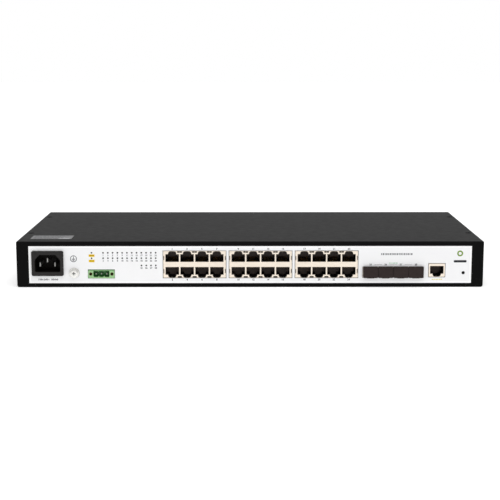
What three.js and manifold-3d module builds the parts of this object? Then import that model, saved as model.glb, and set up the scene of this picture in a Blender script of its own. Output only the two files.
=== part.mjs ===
// A 1U rackmount network switch, in millimetres, built as the pieces that it comes apart into.
// +X runs to the right as seen from the front, +Y runs to the rear and +Z up.
// The origin is the centre of the bottom face, so the front panel's face is at y = -DEPTH / 2.
import * as THREE from "three";
import { mergeVertices } from "three/addons/utils/BufferGeometryUtils.js";
import Module from "manifold-3d";

const wasm = await Module();
wasm.setup();

// ---------------------------------------------------------------- driving dimensions
const WIDTH = 440;
const DEPTH = 200;
const HEIGHT = 43.6;
const SHEET = 1; // steel of the tray and the cover
const BEND = 2; // outer radius of the tray's long bends
const CLEAR = 0.05; // gap between pieces that rest on each other
const FIT = 0.15; // gap around a piece held in a hole
const CUTOUT_GAP = 0.3; // gap between a connector and its hole in the front panel
const SHIELD_GAP = 0.5; // the same round a jack's shield, which shows as a thin dark line

const FRONT = -DEPTH / 2;
const REAR = DEPTH / 2;
const TRAY_TOP = HEIGHT - SHEET - CLEAR;

const COVER = { rim: 0.9, screwX: 214.5, screwY: [-49, 61], headR: 3, shankR: 1.5, screwLength: 6 };
const TRAY = { sideFlange: 12, rearFlange: 9, screwHoleR: 1.7 };
const SIDE_VENTS = { count: 17, pitch: 7.5, firstY: -34, width: 3, height: 20, z: 22 };
const REAR_VENTS = { count: 8, pitch: 7.5, centres: [-120, 120], width: 3, height: 14, z: 24 };
const EAR_HOLES = { y: [-80, -56], z: [12, 32], r: 1.8 };

const PANEL = { thickness: 1.2, sideReturn: 10, topReturn: 8 };
const PANEL_BACK = FRONT + PANEL.thickness;
const OVERLAY = { x: 0.1, width: 417.1, bottom: 3.85, top: 39.15, thickness: 0.3 };
const OVERLAY_FACE = FRONT - OVERLAY.thickness;
const LABEL = { width: 39, depth: 20.4, x: -189.6, y: -75.5, thickness: 0.2 };

const BOARD = { bottom: 7.4, thickness: 1.6, left: -157, right: 212, front: -97.5, rear: 60 };
const BOARD_TOP = BOARD.bottom + BOARD.thickness;
const SEAT = BOARD_TOP + CLEAR; // height at which board-mounted pieces stand

const INLET = {
  x: -190.7, z: 22.9, bezelW: 30, bezelH: 23.8, bezelT: 2, bodyW: 27.2, bodyH: 20.2, bodyRear: -76,
  cavityW: 24, cavityH: 16.4, cavityDepth: 17, chamferX: 4.4, chamferZ: 5,
  pinW: 2, pinH: 4, pinPitch: 14, liveDrop: -1, earthRise: 3, pinTip: 1.5, tabRear: -67,
};
const GROUND = { x: -165.9, z: 13.55, washerR: 4.85, washerT: 0.8, headR: 4, headH: 2.6, shankR: 1.9,
  shankRear: -93, holeR: 2.2, nutR: 4, nutRear: -94, clearR: 5, sides: 32 };
const BATTERY = { x: -140.3, z: 12.7, width: 24.8, height: 8, flangeT: 2.6, face: -100.9, rear: -89,
  pitch: 5.08, lobeW: 5.5, lobeH: 6.1, cavityDepth: 8, screwPitch: 20, screwR: 1.3, pin: 1 };

const LED = { r: 0.9, stubR: 0.65, firstX: -138.4, pitch: 4.5, columns: 12, rows: [32.9, 27.75],
  statusX: -149.2, uplinkZ: 20.75, uplinkFrom: 8, guideFront: -97, guideRear: -94, sides: 6 };

const JACK = { blockCentres: [-52.4, 9.8, 72], columnPitch: 14, columns: 4, bottom: SEAT, top: 34.5,
  width: 59, rear: -66.4, shieldT: 0.25, mouthDepth: 14, lip: 0.25 };
// A modular socket's mouth, measured from its contact side to the end of its latch notch.
const MOUTH = { halfWidth: 6.35, height: 7.35, shoulder: 0.9, notch: 2.75, notchHalf: 3.9,
  notchTipHalf: 2.4 };
const UPPER_MOUTH_BASE = 24.2;
const LOWER_MOUTH_BASE = 19.25;
const CONSOLE = { x: 176.1, bottom: 9.75, top: 22.3, width: 15.3, rear: -84, mouthBase: 20.1 };

const SFP = { x: 134.9, bays: 4, pitch: 14.25, wall: 0.4, bottom: 9.1, top: 19.3, face: -100.2, rear: -52 };
const PLUG = { headW: 14.05, headBottom: 9, headTop: 19.8, headFace: -103.2, tabW: 6.8, tabDrop: 0.35,
  insertW: 13.2, insertH: 8.5, insertRear: -89 };
const RESET = { x: 201.1, z: 13.6, holeR: 1.55, plungerR: 1.1, plungerFront: -97.3, plungerRear: -92.8,
  bodyW: 7, bodyTop: 17.5, bodyFront: -93.5, bodyRear: -90, boreR: 1.45, boreDepth: 2.2 };

const CHIP = { x: 27, y: -12, size: 35, height: 2.4 };
const SINK = { size: 56, base: 3, top: 33, fins: 9, finT: 1.6 };
const PHY = { y: -50, size: 20, height: 1.6 };
const POWER = { left: -212, right: -162, front: -58, rear: 92 };
const INSULATOR = { z: 4, thickness: 0.3, margin: 2 };
const STANDOFF = { r: 2.5, neckR: 1.5, holeR: 1.8, capR: 2.1, capH: 1 };
const BOARD_STANDOFFS = [[-146, -20], [-146, 50], [200, -60], [200, 50]];
const POWER_STANDOFFS = [[-208, -54], [-166, -54], [-208, 88], [-166, 88]];

const ROUND = 16; // sides of a screw, hole or pin
const WIRE = { r: 1.1, sides: 6, steps: 10 };

// ---------------------------------------------------------------- materials
const paint = (color, roughness, metalness) =>
  new THREE.MeshStandardMaterial({ color, roughness, metalness });
const BLACK_STEEL = paint(0x1b1b1c, 0.55, 0.2);
const FILM = paint(0xf4f4f6, 0.45, 0);
const LABEL_FOIL = paint(0x8c8c8c, 0.5, 0.3);
const SCREW_BLACK = paint(0x161616, 0.4, 0.6);
const NICKEL = paint(0xc9c8c4, 0.3, 1);
const TINNED = paint(0xe9dfd2, 0.35, 0.9);
const BLACK_PLASTIC = paint(0x141312, 0.5, 0);
const INLET_PLASTIC = paint(0x3a3637, 0.55, 0);
const GREEN_PLASTIC = paint(0x8fce8a, 0.45, 0);
const RUBBER = paint(0x3a3333, 0.75, 0);
const CLEAR_PLASTIC = paint(0x9a9a9a, 0.25, 0);
const LAMINATE = paint(0x1d5a35, 0.5, 0);
const CHIP_BLACK = paint(0x1f1f22, 0.5, 0);
const ALUMINIUM = paint(0xb5b7b9, 0.4, 1);
const TAPE = paint(0xd9b64a, 0.6, 0);
const SLEEVE = paint(0x22283a, 0.45, 0);
const MYLAR = paint(0x2e2e30, 0.5, 0);
const WIRE_BROWN = paint(0x6b4226, 0.5, 0);
const WIRE_BLUE = paint(0x2a4fa0, 0.5, 0);
const WIRE_GREEN = paint(0x7fae2b, 0.5, 0);
const WIRE_RED = paint(0xa83228, 0.5, 0);

// ---------------------------------------------------------------- solids from three.js shapes
// A closed geometry as a manifold-3d solid.
function solidOf(geometry) {
  geometry.deleteAttribute("normal");
  geometry.deleteAttribute("uv");
  const merged = mergeVertices(geometry, 1e-4);
  const vertProperties = merged.attributes.position.array;
  const triVerts = new Uint32Array(merged.index.array);
  return new wasm.Manifold(new wasm.Mesh({ numProp: 3, vertProperties, triVerts }));
}

// A box given by its low and high edge along each axis.
function box([x0, x1], [y0, y1], [z0, z1]) {
  const geometry = new THREE.BoxGeometry(x1 - x0, y1 - y0, z1 - z0);
  return solidOf(geometry.translate((x0 + x1) / 2, (y0 + y1) / 2, (z0 + z1) / 2));
}

// How an outline's own axes and its extrusion direction lie in the part, and which end "from" is.
const PLANES = {
  x: { u: [0, 1, 0], v: [0, 0, 1], along: [1, 0, 0], sign: 1 },
  y: { u: [1, 0, 0], v: [0, 0, 1], along: [0, -1, 0], sign: -1 },
  z: { u: [1, 0, 0], v: [0, 1, 0], along: [0, 0, 1], sign: 1 },
};

// An outline extruded along an axis between two places.
function prism(axis, outline, from, to) {
  const shape = new THREE.Shape(outline.map(([u, v]) => new THREE.Vector2(u, v)));
  const geometry = new THREE.ExtrudeGeometry(shape, { depth: to - from, bevelEnabled: false, steps: 1 });
  const plane = PLANES[axis];
  const [u, v, along] = [plane.u, plane.v, plane.along].map((a) => new THREE.Vector3(...a));
  const start = along.clone().multiplyScalar(plane.sign > 0 ? from : -to);
  const place = new THREE.Matrix4().makeBasis(u, v, along).setPosition(start);
  return solidOf(geometry.applyMatrix4(place));
}

// The same with holes through it.
function plate(axis, outline, from, to, holes) {
  const cutters = holes.map((hole) => prism(axis, hole, from - 1, to + 1));
  return cut(prism(axis, outline, from, to), cutters);
}

// A solid of revolution about an axis parallel to Y: its profile is [radius, y] from axis to axis.
function turnedAboutY(profile, x, z, sides = ROUND) {
  const geometry = new THREE.LatheGeometry(profile.map(([r, y]) => new THREE.Vector2(r, y)), sides);
  return solidOf(geometry.translate(x, 0, z));
}

// The same about a vertical axis, with the profile as [radius, z].
function turnedAboutZ(profile, x, y, sides = ROUND) {
  const geometry = new THREE.LatheGeometry(profile.map(([r, z]) => new THREE.Vector2(r, z)), sides);
  return solidOf(geometry.rotateX(Math.PI / 2).translate(x, y, 0));
}

// A round wire that follows a smooth curve through its points.
function wire(points) {
  const path = new THREE.CatmullRomCurve3(points.map((p) => new THREE.Vector3(...p)));
  const section = new THREE.Shape(circle(0, 0, WIRE.r, WIRE.sides).map(([u, v]) => new THREE.Vector2(u, v)));
  return solidOf(new THREE.ExtrudeGeometry(section, { extrudePath: path, steps: WIRE.steps }));
}

const join = (solids) => solids.reduce((whole, next) => whole.add(next));
const cut = (solid, cutters) => solid.subtract(join(cutters));

// ---------------------------------------------------------------- outlines
const rectangle = (u, v, width, height) => [
  [u - width / 2, v - height / 2], [u + width / 2, v - height / 2],
  [u + width / 2, v + height / 2], [u - width / 2, v + height / 2],
];

const circle = (u, v, r, sides = ROUND) =>
  Array.from({ length: sides }, (_, i) => {
    const angle = (2 * Math.PI * (i + 0.5)) / sides;
    return [u + r * Math.cos(angle), v + r * Math.sin(angle)];
  });

// Points of an arc between two angles in degrees, both ends included.
const arc = (u, v, r, fromDeg, toDeg, steps) =>
  Array.from({ length: steps + 1 }, (_, i) => {
    const angle = THREE.MathUtils.degToRad(fromDeg + ((toDeg - fromDeg) * i) / steps);
    return [u + r * Math.cos(angle), v + r * Math.sin(angle)];
  });

// An upright slot with rounded ends.
function slot(u, v, width, height) {
  const r = width / 2;
  const reach = height / 2 - r;
  return [...arc(u, v + reach, r, 0, 180, 3), ...arc(u, v - reach, r, 180, 360, 3)];
}

// The face of the enclosure seen from the front: rounded below where the tray bends, square above.
const faceOutline = (top) => [
  [WIDTH / 2, top], [-WIDTH / 2, top],
  ...arc(-WIDTH / 2 + BEND, BEND, BEND, 180, 270, 4),
  ...arc(WIDTH / 2 - BEND, BEND, BEND, 270, 360, 4),
];

// A socket's mouth. Its latch notch points up, or down where flip is -1. Grow widens it all round.
function mouth(x, base, flip, grow = 0) {
  const m = MOUTH;
  const side = [
    [m.halfWidth + grow, -grow], [m.halfWidth + grow, m.height + grow],
    [m.notchHalf + grow, m.height + grow], [m.notchHalf + grow, m.height + m.shoulder],
    [m.notchTipHalf + grow, m.height + m.notch + grow],
  ];
  const whole = [...side, ...side.map(([u, v]) => [-u, v]).reverse()];
  const placed = whole.map(([u, v]) => [x + u, base + flip * v]);
  return flip > 0 ? placed : placed.reverse();
}

// ---------------------------------------------------------------- places that several pieces share
const ledPlaces = () => {
  const column = (i) => LED.firstX + i * LED.pitch;
  const ports = LED.rows.flatMap((z) => Array.from({ length: LED.columns }, (_, i) => [column(i), z]));
  const uplinks = Array.from({ length: SFP.bays }, (_, i) => [column(LED.uplinkFrom + i), LED.uplinkZ]);
  const status = LED.rows.map((z) => [LED.statusX, z]);
  return { ports, uplinks, status };
};
const LEDS = ledPlaces();

const JACK_MID = (JACK.bottom + JACK.top) / 2;
const CONSOLE_MID = (CONSOLE.bottom + CONSOLE.top) / 2;
const SFP_MID = (SFP.bottom + SFP.top) / 2;
const SFP_WIDTH = SFP.bays * SFP.pitch + SFP.wall;
const bayX = (i) => SFP.x + (i - (SFP.bays - 1) / 2) * SFP.pitch;

// Every opening that goes through both the front panel and the film on it. The hole round the ground
// terminal is wider in the film, so that the washer bears on bare steel.
function connectorHoles(groundHole) {
  const hole = (x, z, width, height, gap = CUTOUT_GAP) => rectangle(x, z, width + 2 * gap, height + 2 * gap);
  return [
    hole(INLET.x, INLET.z, INLET.bodyW, INLET.bodyH),
    groundHole,
    hole(BATTERY.x, BATTERY.z, BATTERY.width, BATTERY.height),
    ...JACK.blockCentres.map((x) => hole(x, JACK_MID, JACK.width, JACK.top - JACK.bottom, SHIELD_GAP)),
    hole(SFP.x, SFP_MID, SFP_WIDTH, SFP.top - SFP.bottom),
    hole(CONSOLE.x, CONSOLE_MID, CONSOLE.width, CONSOLE.top - CONSOLE.bottom, SHIELD_GAP),
    circle(RESET.x, RESET.z, RESET.holeR),
  ];
}

const lampHoles = () =>
  [...LEDS.ports, ...LEDS.uplinks, ...LEDS.status].map(([x, z]) => circle(x, z, LED.r, LED.sides));

// ---------------------------------------------------------------- enclosure
// Bottom and side walls folded from one sheet, with inward flanges that take the cover's screws.
function trayOutline() {
  const inner = WIDTH / 2 - SHEET;
  const corner = WIDTH / 2 - BEND;
  const right = [
    ...arc(corner, BEND, BEND, 270, 360, 4),
    [WIDTH / 2, TRAY_TOP],
    [WIDTH / 2 - TRAY.sideFlange, TRAY_TOP],
    [WIDTH / 2 - TRAY.sideFlange, TRAY_TOP - SHEET],
    [inner, TRAY_TOP - SHEET],
    ...arc(corner, BEND, BEND - SHEET, 360, 270, 2),
  ];
  return [...right, ...right.map(([u, v]) => [-u, v]).reverse()];
}

function chassisTray() {
  const inner = WIDTH / 2 - SHEET;
  const folded = prism("y", trayOutline(), PANEL_BACK + CLEAR, REAR);
  const rearWall = box([-inner - 0.5, inner + 0.5], [REAR - SHEET, REAR], [SHEET / 2, TRAY_TOP]);
  const rearFlange = box([-200, 200], [REAR - TRAY.rearFlange, REAR - 0.5], [TRAY_TOP - SHEET, TRAY_TOP]);
  const sideSlots = Array.from({ length: SIDE_VENTS.count }, (_, i) =>
    slot(SIDE_VENTS.firstY + i * SIDE_VENTS.pitch, SIDE_VENTS.z, SIDE_VENTS.width, SIDE_VENTS.height),
  ).map((outline) => prism("x", outline, -WIDTH, WIDTH));
  const rearSlots = REAR_VENTS.centres.flatMap((centre) =>
    Array.from({ length: REAR_VENTS.count }, (_, i) => {
      const x = centre + (i - (REAR_VENTS.count - 1) / 2) * REAR_VENTS.pitch;
      return prism("y", slot(x, REAR_VENTS.z, REAR_VENTS.width, REAR_VENTS.height), REAR - 3, REAR + 3);
    }),
  );
  const earHoles = EAR_HOLES.y.flatMap((y) =>
    EAR_HOLES.z.map((z) => prism("x", circle(y, z, EAR_HOLES.r, 12), -WIDTH, WIDTH)),
  );
  const screwHoles = coverScrewPlaces().map(([x, y]) =>
    prism("z", circle(x, y, TRAY.screwHoleR, 12), TRAY_TOP - 3, TRAY_TOP + 3),
  );
  return cut(join([folded, rearWall, rearFlange]), [...sideSlots, ...rearSlots, ...earHoles, ...screwHoles]);
}

// Front plate with returns that are spot-welded inside the tray, and a press nut for the ground screw.
function frontPanel() {
  const inside = WIDTH / 2 - SHEET - FIT;
  const groundHole = circle(GROUND.x, GROUND.z, GROUND.holeR, 12);
  const holes = [...connectorHoles(groundHole), ...lampHoles()];
  const face = plate("y", faceOutline(TRAY_TOP), FRONT, PANEL_BACK, holes);
  const returnRear = PANEL_BACK + PANEL.sideReturn;
  const sideReturns = [-1, 1].map((side) => {
    const faces = [side * (inside - SHEET), side * inside].sort((a, b) => a - b);
    return box(faces, [PANEL_BACK - 0.5, returnRear], [BEND + 1, TRAY_TOP - SHEET - FIT]);
  });
  const reach = WIDTH / 2 - TRAY.sideFlange - 1;
  const topDepth = [PANEL_BACK - 0.5, PANEL_BACK + PANEL.topReturn];
  const topReturn = box([-reach, reach], topDepth, [TRAY_TOP - SHEET, TRAY_TOP]);
  const nut = prism("y", circle(GROUND.x, GROUND.z, GROUND.nutR, 12), PANEL_BACK - 0.5, GROUND.nutRear);
  const bore = prism("y", groundHole, FRONT - 1, GROUND.nutRear + 1);
  return cut(join([face, ...sideReturns, topReturn, nut]), [bore]);
}

// A printed film over the panel's face. It runs over the lamp holes, with clear windows printed there.
function frontOverlay() {
  const middle = (OVERLAY.bottom + OVERLAY.top) / 2;
  const outline = rectangle(OVERLAY.x, middle, OVERLAY.width, OVERLAY.top - OVERLAY.bottom);
  const groundHole = circle(GROUND.x, GROUND.z, GROUND.clearR, GROUND.sides);
  return plate("y", outline, OVERLAY_FACE, FRONT - 0.01, connectorHoles(groundHole));
}

const coverScrewPlaces = () =>
  [-1, 1].flatMap((side) => COVER.screwY.map((y) => [side * COVER.screwX, y]));

// A flat cover with rounded upper edges: two profiles crossed, one along each side.
function topCover() {
  const bottom = HEIGHT - SHEET;
  const profile = (half) => [
    [-half, bottom], [half, bottom],
    ...arc(half - COVER.rim, HEIGHT - COVER.rim, COVER.rim, 0, 90, 3),
    ...arc(-half + COVER.rim, HEIGHT - COVER.rim, COVER.rim, 90, 180, 3),
  ];
  const along = prism("y", profile(WIDTH / 2), FRONT - 1, REAR + 1);
  const across = prism("x", profile(DEPTH / 2), -WIDTH, WIDTH);
  const countersinks = coverScrewPlaces().map(([x, y]) => coverScrewShape(x, y, FIT, HEIGHT + 1));
  return cut(along.intersect(across), countersinks);
}

// A countersunk screw standing upright. Grown all round and carried on above, it cuts its own seat.
function coverScrewShape(x, y, grow, top) {
  const headR = COVER.headR + grow;
  const shankR = COVER.shankR + grow;
  const tip = HEIGHT - COVER.screwLength - grow;
  const shank = [[0, tip], [shankR, tip], [shankR, HEIGHT - SHEET]];
  return turnedAboutZ([...shank, [headR, HEIGHT - 0.1], [headR, top], [0, top]], x, y, 12);
}

function coverScrew(x, y) {
  const recess = [[0.8, 3.2], [3.2, 0.8]].map(([w, d]) =>
    box([x - w / 2, x + w / 2], [y - d / 2, y + d / 2], [HEIGHT - 0.9, HEIGHT + 1]),
  );
  return cut(coverScrewShape(x, y, 0, HEIGHT), recess);
}

function ratingLabel() {
  const { x, y, width, depth, thickness } = LABEL;
  const bottom = HEIGHT + 0.01;
  return prism("z", rectangle(x, y, width, depth), bottom, bottom + thickness);
}

// ---------------------------------------------------------------- ground terminal
function groundWasher() {
  const { x, z, washerR, washerT, shankR, sides } = GROUND;
  const rear = FRONT - CLEAR;
  return plate("y", circle(x, z, washerR, sides), rear - washerT, rear, [circle(x, z, shankR + 0.2)]);
}

function groundScrew() {
  const { x, z, headR, headH, shankR, shankRear, washerT } = GROUND;
  const seat = FRONT - 2 * CLEAR - washerT;
  const face = seat - headH;
  const profile = [
    [0, shankRear], [shankR, shankRear], [shankR, seat], [headR, seat],
    [headR, seat - headH * 0.55], [headR * 0.82, face + 0.25], [headR * 0.55, face], [0, face],
  ];
  const recess = [[1.1, 4.6], [4.6, 1.1]].map(([w, h]) =>
    box([x - w / 2, x + w / 2], [face - 1, face + 1.5], [z - h / 2, z + h / 2]),
  );
  return cut(turnedAboutY(profile.reverse(), x, z), recess);
}

// ---------------------------------------------------------------- mains inlet
const inletPins = () => ({
  line_pin: [INLET.x - INLET.pinPitch / 2, INLET.z + INLET.liveDrop],
  neutral_pin: [INLET.x + INLET.pinPitch / 2, INLET.z + INLET.liveDrop],
  earth_pin: [INLET.x, INLET.z + INLET.earthRise],
});

function powerInlet() {
  const { x, z, bezelW, bezelH, bezelT, bodyW, bodyH, bodyRear, cavityW, cavityH, cavityDepth } = INLET;
  const seat = OVERLAY_FACE - CLEAR;
  const face = seat - bezelT;
  const bezel = prism("y", rectangle(x, z, bezelW, bezelH), face, seat);
  const body = prism("y", rectangle(x, z, bodyW, bodyH), seat - 0.5, bodyRear);
  const [right, top] = [x + cavityW / 2, z + cavityH / 2];
  const [left, bottom] = [x - cavityW / 2, z - cavityH / 2];
  const cavity = [
    [left, bottom], [right, bottom], [right, top - INLET.chamferZ], [right - INLET.chamferX, top],
    [left + INLET.chamferX, top], [left, top - INLET.chamferZ],
  ];
  const pocket = prism("y", cavity, face - 1, face + cavityDepth);
  const pinHoles = Object.values(inletPins()).map(([px, pz]) =>
    prism("y", rectangle(px, pz, INLET.pinW + 2 * FIT, INLET.pinH + 2 * FIT), face, bodyRear + 1),
  );
  return cut(join([bezel, body]), [pocket, ...pinHoles]);
}

// A flat pin with a tapered tip, which goes on behind the inlet as its tab.
function inletPin([x, z]) {
  const tip = OVERLAY_FACE - CLEAR - INLET.bezelT + INLET.pinTip;
  const half = INLET.pinW / 2;
  const taper = [
    [x - half, INLET.tabRear], [x - half, tip + 1.2], [x - half * 0.4, tip],
    [x + half * 0.4, tip], [x + half, tip + 1.2], [x + half, INLET.tabRear],
  ];
  return prism("z", taper.reverse(), z - INLET.pinH / 2, z + INLET.pinH / 2);
}

// ---------------------------------------------------------------- backup battery header
const batteryPinX = (i) => BATTERY.x + (i - 1) * BATTERY.pitch;

function batteryHeader() {
  const { x, z, width, height, flangeT, face, rear, lobeW, lobeH, cavityDepth, screwPitch, screwR } = BATTERY;
  const flange = prism("y", rectangle(x, z, width, height), face, face + flangeT);
  const bodyHeight = z + height / 2 - SEAT;
  const body = prism("y", rectangle(x, SEAT + bodyHeight / 2, width, bodyHeight), face + flangeT - 0.3, rear);
  const lobes = [0, 1, 2].map((i) => {
    const [cx, w, h] = [batteryPinX(i), lobeW / 2, lobeH / 2];
    const lobe = [
      [cx - w, z - h * 0.4], [cx - w * 0.55, z - h], [cx + w * 0.55, z - h], [cx + w, z - h * 0.4],
      [cx + w, z + h * 0.5], [cx + w * 0.65, z + h], [cx - w * 0.65, z + h], [cx - w, z + h * 0.5],
    ];
    return prism("y", lobe, face - 1, face + cavityDepth);
  });
  const screwHoles = [-1, 1].map((side) =>
    prism("y", circle(x + (side * screwPitch) / 2, z, screwR), face - 1, face + 6),
  );
  const pinHoles = [0, 1, 2].map((i) =>
    prism("y", rectangle(batteryPinX(i), z, BATTERY.pin + 2 * FIT, BATTERY.pin + 2 * FIT), face, rear + 1),
  );
  return cut(join([flange, body]), [join(lobes), ...screwHoles, ...pinHoles]);
}

function batteryPin(i) {
  const half = BATTERY.pin / 2;
  const x = batteryPinX(i);
  const sides = [x - half, x + half];
  const blade = box(sides, [BATTERY.face + 1.2, BATTERY.rear + 2], [BATTERY.z - half, BATTERY.z + half]);
  const tail = box(sides, [BATTERY.rear + 1, BATTERY.rear + 2], [SEAT, BATTERY.z]);
  return blade.add(tail);
}

// ---------------------------------------------------------------- modular jacks
// The mouths of one block: four columns, notch up in the upper row and down in the lower.
const blockMouths = (centre, grow = 0) =>
  Array.from({ length: JACK.columns }, (_, i) => centre + (i - (JACK.columns - 1) / 2) * JACK.columnPitch)
    .flatMap((x) => [mouth(x, UPPER_MOUTH_BASE, 1, grow), mouth(x, LOWER_MOUTH_BASE, -1, grow)]);

// A sheet-metal shield, open below, with the mouths cut in its front.
function shield(x, width, bottom, top, rear, mouths) {
  const face = OVERLAY_FACE - 0.1;
  const t = JACK.shieldT;
  const shell = box([x - width / 2, x + width / 2], [face, rear], [bottom, top]);
  const hollow = box([x - width / 2 + t, x + width / 2 - t], [face + t, rear - t], [bottom - 1, top - t]);
  return cut(shell, [hollow, ...mouths.map((outline) => prism("y", outline, face - 1, face + 0.9))]);
}

// The moulded core inside a shield: sockets in front and a foot that stands on the board.
function core(x, width, bottom, top, rear, mouths) {
  const inset = JACK.shieldT + FIT;
  const face = OVERLAY_FACE - 0.1 + inset;
  const sides = [x - width / 2 + inset, x + width / 2 - inset];
  const block = box(sides, [face, rear - inset], [bottom + 0.1, top - inset]);
  const foot = box([sides[0] + 1, sides[1] - 1], [BOARD.front + 1, rear - inset - 1], [SEAT, bottom + 1]);
  const sockets = mouths.map((outline) => prism("y", outline, face - 1, face + JACK.mouthDepth));
  return cut(block.add(foot), sockets);
}

const jackShield = (x) => shield(x, JACK.width, JACK.bottom, JACK.top, JACK.rear, blockMouths(x));
const jackCore = (x) => core(x, JACK.width, JACK.bottom, JACK.top, JACK.rear, blockMouths(x, -JACK.lip));
const consoleMouth = (grow) => [mouth(CONSOLE.x, CONSOLE.mouthBase, -1, grow)];
const consoleShield = () =>
  shield(CONSOLE.x, CONSOLE.width, CONSOLE.bottom, CONSOLE.top, CONSOLE.rear, consoleMouth(0));
const consoleCore = () =>
  core(CONSOLE.x, CONSOLE.width, CONSOLE.bottom, CONSOLE.top, CONSOLE.rear, consoleMouth(-JACK.lip));

// ---------------------------------------------------------------- optical cages and their dust plugs
function sfpCage() {
  const outline = rectangle(SFP.x, SFP_MID, SFP_WIDTH, SFP.top - SFP.bottom);
  const bayWidth = SFP.pitch - SFP.wall;
  const bayHeight = SFP.top - SFP.bottom - 2 * SFP.wall;
  const bays = Array.from({ length: SFP.bays }, (_, i) =>
    prism("y", rectangle(bayX(i), SFP_MID, bayWidth, bayHeight), SFP.face - 1, SFP.rear - SFP.wall),
  );
  return cut(prism("y", outline, SFP.face, SFP.rear), bays);
}

function sfpPlug(i) {
  const x = bayX(i);
  const middle = (PLUG.headBottom + PLUG.headTop) / 2;
  const seat = OVERLAY_FACE - CLEAR;
  const headOutline = rectangle(x, middle, PLUG.headW, PLUG.headTop - PLUG.headBottom);
  const head = prism("y", headOutline, PLUG.headFace, seat);
  const tab = box([x - PLUG.tabW / 2, x + PLUG.tabW / 2], [PLUG.headFace, seat],
    [PLUG.headBottom - PLUG.tabDrop, PLUG.headBottom + 1]);
  const insert = prism("y", rectangle(x, SFP_MID, PLUG.insertW, PLUG.insertH), seat - 0.5, PLUG.insertRear);
  return join([head, tab, insert]);
}

// ---------------------------------------------------------------- reset switch
function resetSwitch() {
  const { x, z, bodyW, bodyTop, bodyFront, bodyRear, boreR, boreDepth } = RESET;
  const body = box([x - bodyW / 2, x + bodyW / 2], [bodyFront, bodyRear], [SEAT, bodyTop]);
  return cut(body, [prism("y", circle(x, z, boreR), bodyFront - 1, bodyFront + boreDepth)]);
}

const resetButton = () =>
  prism("y", circle(RESET.x, RESET.z, RESET.plungerR), RESET.plungerFront, RESET.plungerRear);

// ---------------------------------------------------------------- light guides
// A clear bar with one stub for each lamp and legs that stand on the board.
function lightGuide(places, [left, right], [bottom, top], legs) {
  const depth = [LED.guideFront, LED.guideRear];
  const bar = box([left, right], depth, [bottom, top]);
  const stubs = places.map(([x, z]) =>
    prism("y", circle(x, z, LED.stubR, LED.sides), FRONT + CLEAR, LED.guideFront + 0.5),
  );
  const stands = legs.map((x) => box([x, x + 2], depth, [SEAT, bottom + 0.5]));
  return join([bar, ...stubs, ...stands]);
}

const lastColumn = LED.firstX + (LED.columns - 1) * LED.pitch;
const firstUplink = LED.firstX + LED.uplinkFrom * LED.pitch;
const portLightGuide = () =>
  lightGuide(LEDS.ports, [LED.firstX - 2, lastColumn + 2], [26, 34.6], [-126, -108.5]);
const uplinkLightGuide = () =>
  lightGuide(LEDS.uplinks, [firstUplink - 2, lastColumn + 2], [19.5, 22], [firstUplink - 2, lastColumn]);
const statusLightGuide = () =>
  lightGuide(LEDS.status, [LED.statusX - 6.8, LED.statusX + 1], [26, 34.6], [LED.statusX - 6.8]);

// ---------------------------------------------------------------- boards
const holesFor = (places, r) => places.map(([x, y]) => circle(x, y, r, 8));

function boardPlate([left, right], [front, rear], standoffs) {
  const outline = rectangle((left + right) / 2, (front + rear) / 2, right - left, rear - front);
  return plate("z", outline, BOARD.bottom, BOARD_TOP, holesFor(standoffs, STANDOFF.holeR));
}

const mainBoard = () => boardPlate([BOARD.left, BOARD.right], [BOARD.front, BOARD.rear], BOARD_STANDOFFS);
const powerBoard = () => boardPlate([POWER.left, POWER.right], [POWER.front, POWER.rear], POWER_STANDOFFS);

function powerInsulator() {
  const { z, thickness, margin } = INSULATOR;
  const [width, depth] = [POWER.right - POWER.left, POWER.rear - POWER.front];
  const [x, y] = [(POWER.left + POWER.right) / 2, (POWER.front + POWER.rear) / 2];
  const outline = rectangle(x, y, width + 2 * margin, depth + 2 * margin);
  return plate("z", outline, z, z + thickness, holesFor(POWER_STANDOFFS, STANDOFF.r + 0.4));
}

// A snap-top support: a post below the board, a neck through it and a cap above.
function standoff(x, y) {
  const { r, neckR, capR, capH } = STANDOFF;
  const shoulder = BOARD.bottom - CLEAR;
  const profile = [
    [0, SHEET + CLEAR], [r, SHEET + CLEAR], [r, shoulder], [neckR, shoulder],
    [neckR, SEAT], [capR, SEAT], [neckR, SEAT + capH], [0, SEAT + capH],
  ];
  return turnedAboutZ(profile, x, y, 8);
}

const slab = (x, y, size, height) =>
  box([x - size / 2, x + size / 2], [y - size / 2, y + size / 2], [SEAT, SEAT + height]);

const switchChip = () => slab(CHIP.x, CHIP.y, CHIP.size, CHIP.height);

function switchHeatsink() {
  const half = SINK.size / 2;
  const bottom = SEAT + CHIP.height + CLEAR;
  const sides = [CHIP.x - half, CHIP.x + half];
  const base = box(sides, [CHIP.y - half, CHIP.y + half], [bottom, bottom + SINK.base]);
  const fins = Array.from({ length: SINK.fins }, (_, i) => {
    const y = CHIP.y - half + SINK.finT / 2 + (i * (SINK.size - SINK.finT)) / (SINK.fins - 1);
    return box(sides, [y - SINK.finT / 2, y + SINK.finT / 2], [bottom + SINK.base - 0.5, SINK.top]);
  });
  return join([base, ...fins]);
}

// ---------------------------------------------------------------- power supply
function powerTransformer() {
  const legs = box([-198, -176], [10, 38], [SEAT, 34]);
  const winding = box([-202, -172], [15, 33], [SEAT + 3, 31]);
  return legs.add(winding);
}

const bulkCapacitor = () => turnedAboutZ([[0, SEAT], [9, SEAT], [9, 36], [8, 37], [0, 37]], -178, -22, 20);

function powerHeatsink() {
  const back = box([-210, -207.5], [-40, 60], [SEAT, 35]);
  const fins = Array.from({ length: 5 }, (_, i) => {
    const front = -40 + i * 24.5;
    return box([-208, -204], [front, front + 2], [SEAT + 6, 35]);
  });
  return join([back, ...fins]);
}

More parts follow.
